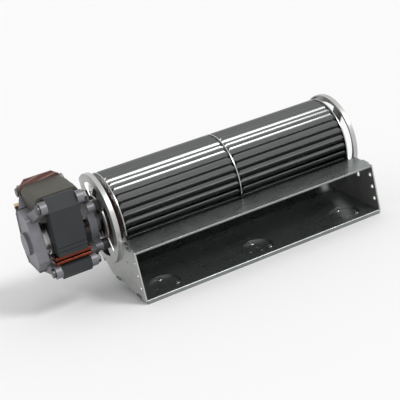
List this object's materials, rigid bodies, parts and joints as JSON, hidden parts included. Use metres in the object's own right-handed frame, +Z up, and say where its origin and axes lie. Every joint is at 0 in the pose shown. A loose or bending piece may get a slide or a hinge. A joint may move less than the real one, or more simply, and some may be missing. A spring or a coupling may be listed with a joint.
{
  "type": "cross flow fan",
  "caption": "Tangential blower: a long caged blade wheel in a bent sheet scroll with a wide slot outlet, driven at one end by an open-frame shaded-pole motor.",
  "frame": {"origin": "middle of the flat front of the lip bent down under the outlet mouth", "axes": "+X along the wheel's axis away from the motor, -Y the way the air leaves, +Z up"},
  "size_m": [0.2545, 0.0896, 0.0927],
  "materials": {
    "galvanised_sheet": "satin",
    "wheel_aluminium": "polished",
    "hub_rubber": "matte",
    "dark_rubber": "matte",
    "lamination_steel": "matte",
    "bobbin_plastic": "matte",
    "coil_tape": "matte",
    "copper": "satin",
    "terminal_brass": "satin",
    "die_cast_metal": "matte",
    "rotor_metal": "satin",
    "plated_steel": "satin",
    "bearing_bronze": "satin"
  },
  "bodies": {
    "housing": {"left_end_plate": "galvanised_sheet", "right_end_plate": "galvanised_sheet", "scroll_sheet": "galvanised_sheet", "tongue_sheet": "galvanised_sheet", "end_bearing": "bearing_bronze", "bearing_rubber_mount": "dark_rubber", "bearing_cap": "plated_steel", "stator_stack": "lamination_steel", "coil_core_bar": "lamination_steel", "coil_bobbin": "bobbin_plastic", "coil_winding": "coil_tape", "terminals": "terminal_brass", "shading_rings": "copper", "left_bracket": "die_cast_metal", "right_bracket": "die_cast_metal", "left_motor_bearing": "bearing_bronze", "right_motor_bearing": "bearing_bronze", "motor_screws": "plated_steel", "motor_nuts": "plated_steel", "rubber_posts": "dark_rubber", "post_screws": "plated_steel"},
    "impeller": {"impeller_blades": "wheel_aluminium", "drive_disc": "wheel_aluminium", "middle_ring": "wheel_aluminium", "bearing_disc": "wheel_aluminium", "rubber_drive_hub": "hub_rubber", "hub_bush": "plated_steel", "stub_shaft": "plated_steel", "rotor": "rotor_metal", "motor_shaft": "plated_steel"}
  },
  "joints": [
    {"name": "impeller_spin", "type": "hinge", "parent": "housing", "child": "impeller", "pos_m": [0, 0.0517, 0.0509], "axis": [1, 0, 0], "continuous": true}
  ]
}
